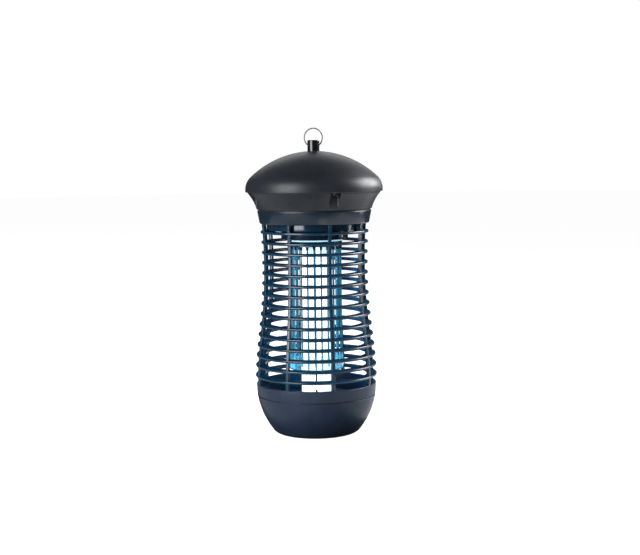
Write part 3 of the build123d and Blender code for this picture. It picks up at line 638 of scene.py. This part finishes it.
def cage_half(name, side, node):
    start = 180.0 if side < 0 else 0.0
    fins = [revolve("fin", fin_outline(TOP_FIN_Z - FIN_PITCH * k), 96, start, 180.0)
            for k in range(FIN_COUNT)]
    rings = fins + [revolve("band", band_outline(), 96, start, 180.0),
                    revolve("rim", rim_outline(), 96, start, 180.0)]
    cage = joined(name, rings)
    half = RIB_WIDTH / 2
    bars = [rib_bar("bar", side * 45.0 * k, -half, half) for k in (1, 2, 3)]
    bars.append(rib_bar("bar", 0.0, *sorted((0.0, side * SEAM_RIB_WIDTH))))
    bars.append(rib_bar("bar", 180.0, *sorted((0.0, -side * SEAM_RIB_WIDTH))))
    cage = boolean(cage, joined("bars", bars), "UNION")
    smooth(cage)
    finish_piece(cage, "casing", "guard_plastic", MATERIALS["guard_plastic"], node)
    cage.data.materials.append(MATERIALS["band_plastic"])
    cage.data.materials.append(MATERIALS["tray_plastic"])
    # Fins and ribs keep guard_plastic, whose deep blue is painted lamp light on a dark plastic; the band
    # and the rim get other shades.
    for face in cage.data.polygons:
        if face.center.z > BAND_BOTTOM - 0.1 * MM:
            face.material_index = 1
        if face.center.z < RIM_TOP + 0.1 * MM:
            face.material_index = 2
    return cage


cage_half("front_cage", -1, "guard_front_half")
cage_half("rear_cage", 1, "guard_rear_half")


# ---- insect tray ----

FOOT_RADIUS = 51.7 * MM
BULGE_RADIUS = 97.6 * MM
TRAY_WALL = 2.2 * MM
SEAM_HEIGHT = 1.0 * MM
SEAM_DEPTH = 1.2 * MM
SPIGOT_OUTER = 71.8 * MM
SPIGOT_INNER = 69.6 * MM


def bowl_side(inset, low):
    """Bulging side from the foot up to the rim."""
    top = (RIM_RADIUS_BOTTOM - inset, TRAY_TOP)
    foot = (FOOT_RADIUS - inset, low)
    radius = BULGE_RADIUS - inset
    chord = Vector(top) - Vector(foot)
    half = chord.length / 2
    middle = (Vector(top) + Vector(foot)) / 2
    out = Vector((chord.y, -chord.x)).normalized()
    peak = middle + out * (radius - math.sqrt(radius * radius - half * half))
    return arc_through(foot, tuple(peak), top, 48)


def with_foot(side, low, radius):
    """The side with its sharp foot replaced by an arc tangent to it and to the flat base."""
    (ax, ay), (bx, by) = side[0], side[1]
    slope = math.atan2(by - ay, bx - ax)
    reach = radius * math.tan(slope / 2)
    centre = (ax - reach, low + radius)
    turn = math.degrees(slope)
    foot = arc(centre, radius, -90, -90 + turn, 12)
    return foot + [point for point in side if point[1] > foot[-1][1] + 0.3 * MM]


def tray_outline():
    """Bowl with a seam groove under the guard's rim and a spigot that goes up inside it."""
    wall = TRAY_WALL
    outer = with_foot(bowl_side(0.0, 0.0), 0.0, 13.2 * MM)
    outer = [point for point in outer if point[1] < TRAY_TOP - 1.6 * MM]
    seam_low, seam_back = TRAY_TOP - SEAM_HEIGHT, RIM_RADIUS_BOTTOM - SEAM_DEPTH
    lip = rounded([(RIM_RADIUS_BOTTOM, TRAY_TOP - 6 * MM, 0), (RIM_RADIUS_BOTTOM, seam_low, 0.4 * MM),
                   (seam_back, seam_low, 0), (seam_back, TRAY_TOP, 0),
                   (SPIGOT_OUTER, TRAY_TOP, 0), (SPIGOT_OUTER, TRAY_HIGH.z, 0.4 * MM),
                   (SPIGOT_INNER, TRAY_HIGH.z, 0.4 * MM), (SPIGOT_INNER, TRAY_TOP - 5 * MM, 0)])[1:]
    inner = with_foot(bowl_side(wall, wall), wall, 12.2 * MM)[::-1]
    inner = [point for point in inner if point[1] < TRAY_TOP - 7 * MM]
    return [(0.0, 0.0)] + outer + lip + inner + [(0.0, wall)]


tray = revolve("tray_bowl", tray_outline(), 256)
smooth(tray)
finish_piece(tray, "tray", "guard_plastic", MATERIALS["tray_plastic"], "insect_tray")


# ---- hanger ----

STUD_HOLE = 3.0 * MM
STUD_HOLE_DEPTH = 2.6 * MM
NEAR_AXIS = 0.0001 * MM
WIRE_RADIUS = 0.8 * MM
EYE_RADIUS = 2.5 * MM
EYE_Z = RING_LOW.z + WIRE_RADIUS + 1.35 * MM


def post_outline():
    radius, hole_top = POST_HIGH.x, POST_LOW.z + STUD_HOLE_DEPTH
    return rounded([(radius, POST_LOW.z, 0.0), (radius, POST_HIGH.z, 1.2 * MM), (NEAR_AXIS, POST_HIGH.z, 0),
                    (NEAR_AXIS, hole_top, 0), (STUD_HOLE, hole_top, 0), (STUD_HOLE, POST_LOW.z, 0)], 6)


post = revolve("post_body", post_outline(), 96)
eye = prism("eye", circle_plan(EYE_RADIUS, steps=40), -12 * MM, 12 * MM)
eye.data.transform(Matrix.Translation((0, 0, EYE_Z)) @ Matrix.Rotation(math.pi / 2, 4, "Y"))
post = boolean(post, eye, "DIFFERENCE")
smooth(post)
finish_piece(post, "casing", "post_plastic", MATERIALS["post_plastic"], "hanger_post")


def wire_ring():
    """Ring of wire standing in the XZ plane, with a small gap at its top."""
    centre = RING_LOW.z + RING_HIGH.x
    outline = circle_plan(WIRE_RADIUS, RING_HIGH.x - WIRE_RADIUS, steps=20)
    made = revolve("ring_wire", outline, 160, 91.5, 357.0)
    made.data.transform(Matrix.Translation((0, 0, centre)) @ Matrix.Rotation(math.pi / 2, 4, "X"))
    return made


ring = wire_ring()
smooth(ring)
finish_piece(ring, "ring", "ring_steel", MATERIALS["ring_steel"], "hanging_ring")


# ---- lamp ----

LIMB_RADIUS = 8.75 * MM
LIMB_OFFSET = 10.25 * MM
BRIDGE_RADIUS = 3.6 * MM
BRIDGE_Z = TUBE_LOW.z + 11 * MM


def limb_outline():
    return rounded([(0.0, TUBE_LOW.z, 0), (LIMB_RADIUS, TUBE_LOW.z, 6.5 * MM),
                    (LIMB_RADIUS, TUBE_HIGH.z, 0.3 * MM), (0.0, TUBE_HIGH.z, 0)], 10)


def lamp_limbs():
    limbs = []
    for side in (-1, 1):
        limb = revolve("limb", limb_outline(), 64)
        limb.data.transform(Matrix.Translation((side * LIMB_OFFSET, 0, 0)))
        limbs.append(limb)
    lamp = joined("lamp_limbs", limbs)
    bridge = prism("bridge", circle_plan(BRIDGE_RADIUS, steps=32), -LIMB_OFFSET, LIMB_OFFSET)
    bridge.data.transform(Matrix.Translation((0, 0, BRIDGE_Z)) @ Matrix.Rotation(math.pi / 2, 4, "Y"))
    return boolean(lamp, bridge, "UNION")


lamp = lamp_limbs()
smooth(lamp)
finish_piece(lamp, "lamp", "lamp_glass", MATERIALS["lamp_glass"], "lamp_tube")


# ---- camera ----

CAMERA_AZIMUTH = -16.5


def make_camera():
    """Camera at the photograph's place. Pitch, yaw and roll turn it from a level look at the axis."""
    distance, height = 1.5614, 0.3461
    azimuth, pitch, yaw, roll = (math.radians(a) for a in (CAMERA_AZIMUTH, 5.49, 0.225, 0.735))
    away = Vector((math.sin(azimuth), -math.cos(azimuth), 0))
    across = Vector((math.cos(azimuth), math.sin(azimuth), 0))
    level = -away * math.cos(yaw) + across * math.sin(yaw)
    right = across * math.cos(yaw) + away * math.sin(yaw)
    forward = level * math.cos(pitch) + Vector((0, 0, -math.sin(pitch)))
    up = right.cross(forward)
    tilted_up = up * math.cos(roll) + right * math.sin(roll)
    tilted_right = forward.cross(tilted_up)
    data = bpy.data.cameras.new("camera")
    data.lens = 70.0
    data.sensor_width = 36.0
    camera = bpy.data.objects.new("camera", data)
    SCENE.collection.objects.link(camera)
    basis = Matrix((tilted_right, tilted_up, -forward)).transposed().to_4x4()
    camera.matrix_world = Matrix.Translation(away * distance + Vector((0, 0, height))) @ basis
    SCENE.camera = camera


make_camera()


# ---- floor, world and lights ----

AMBIENT_LOW = 0.05
AMBIENT_HIGH = 0.12
FLOOR_HALF = 12.0
BACKDROP_RADIUS = 11.0
BACKDROP_TOP = 8.0
LAMP_LIGHT = 28.0
LAMP_LIGHT_COLOUR = (0.0, 0.65, 1.0)
LAMP_LIGHT_OUT = 41 * MM
LAMP_LIGHT_SIZE = (10 * MM, 180 * MM)


def white_paper(name, albedo, emission):
    """Paper with a light of its own, so that it looks evenly lit."""
    material, tree = node_material(name)
    place = tree.nodes.new("ShaderNodeTexCoord").outputs["Object"]
    shader = add(tree, "ShaderNodeBsdfPrincipled", Roughness=0.9)
    shader.inputs["Specular IOR Level"].default_value = 0.1
    dark, light = (albedo - 0.02,) * 3, (albedo + 0.02,) * 3
    tree.links.new(mixed(tree, noise(tree, place, 40.0, 3.0), dark, light), shader.inputs["Base Color"])
    shader.inputs["Emission Color"].default_value = (1, 1, 1, 1)
    shader.inputs["Emission Strength"].default_value = emission
    output = tree.nodes.new("ShaderNodeOutputMaterial")
    tree.links.new(shader.outputs["BSDF"], output.inputs["Surface"])
    return material


def stage_piece(piece, material):
    """Part of the studio: it is seen, but it throws no light back on the object."""
    piece.data.materials.append(material)
    piece.visible_diffuse = False
    piece.visible_glossy = False
    piece.visible_transmission = False
    piece.visible_shadow = False


def stage_and_world():
    side = FLOOR_HALF
    floor = new_object("floor", [(-side, -side, 0), (side, -side, 0), (side, side, 0), (-side, side, 0)],
                       [[0, 1, 2, 3]])
    stage_piece(floor, white_paper("floor_paper", 0.4, 0.93))
    near, far, low = BACKDROP_RADIUS, BACKDROP_RADIUS + 0.1, -0.1
    wall = revolve("backdrop", [(near, low), (near, BACKDROP_TOP), (far, BACKDROP_TOP), (far, low)], 64)
    stage_piece(wall, white_paper("backdrop_paper", 0.1, 1.0))
    world = bpy.data.worlds.new("studio")
    world.use_nodes = True
    tree = world.node_tree
    background = tree.nodes["Background"]
    split = tree.nodes.new("ShaderNodeSeparateXYZ")
    tree.links.new(tree.nodes.new("ShaderNodeTexCoord").outputs["Generated"], split.inputs["Vector"])
    level = ranged(tree, split.outputs["Z"], -0.2, 0.5, AMBIENT_LOW, AMBIENT_HIGH)
    tree.links.new(level, background.inputs["Strength"])
    background.inputs["Color"].default_value = (1.0, 1.0, 1.0, 1.0)
    SCENE.world = world
    SCENE.view_settings.view_transform = "Standard"


def softbox(name, azimuth, distance, z, width, height, radiance, colour=(1, 1, 1), outward=False):
    """A rectangular light facing the axis, or away from it. Its power gives the face that radiance."""
    data = bpy.data.lights.new(name, "AREA")
    data.shape = "RECTANGLE"
    data.size, data.size_y = width, height
    data.energy = radiance * math.pi * width * height
    data.color = colour
    light = bpy.data.objects.new(name, data)
    SCENE.collection.objects.link(light)
    light.visible_camera = False
    light.visible_glossy = not outward
    light.visible_transmission = False
    a = math.radians(azimuth)
    away = Vector((math.sin(a), -math.cos(a), 0))
    turn = (away if outward else -away).to_track_quat("-Z", "Y").to_matrix().to_4x4()
    light.matrix_world = Matrix.Translation(away * distance + Vector((0, 0, z))) @ turn
    return light


def floor_card(name, azimuth, radiance, distance=0.53, depth=0.9, glossy=True):
    """A lit card lying on the floor beside the object, that shines on its sides from below."""
    card = softbox(name, azimuth, 0.0, 0.0, depth, 1.3, radiance)
    card.visible_glossy = glossy
    a = math.radians(azimuth)
    place = Vector((math.sin(a) * distance, -math.cos(a) * distance, 0.002))
    upright = Matrix.Rotation(math.pi, 4, "X")
    card.matrix_world = Matrix.Translation(place) @ Matrix.Rotation(a - math.pi / 2, 4, "Z") @ upright


stage_and_world()
softbox("left_softbox", -61.5, 1.6, 0.72, 1.1, 1.4, 13.0)
softbox("right_softbox", 94.0, 1.6, 1.06, 1.2, 1.0, 23.0)
softbox("low_strip_1", 76.0, 1.6, 0.12, 0.16, 0.26, 10.0)
softbox("low_strip_2", 93.0, 1.6, 0.12, 0.16, 0.26, 10.0)
softbox("back_panel", 163.5, 3.0, 2.0, 2.2, 1.7, 1.7)
floor_card("left_card", -75.0, 0.8)
floor_card("right_card", 75.0, 1.5)
floor_card("front_card", CAMERA_AZIMUTH, 2.2, distance=0.27, depth=0.3, glossy=False)

# The lamp's own light on the guard, from just outside the grid
for side in range(4):
    softbox(f"lamp_light_{side}", 90.0 * side, LAMP_LIGHT_OUT, (TUBE_LOW.z + TUBE_HIGH.z) / 2,
            *LAMP_LIGHT_SIZE, LAMP_LIGHT, LAMP_LIGHT_COLOUR, outward=True)
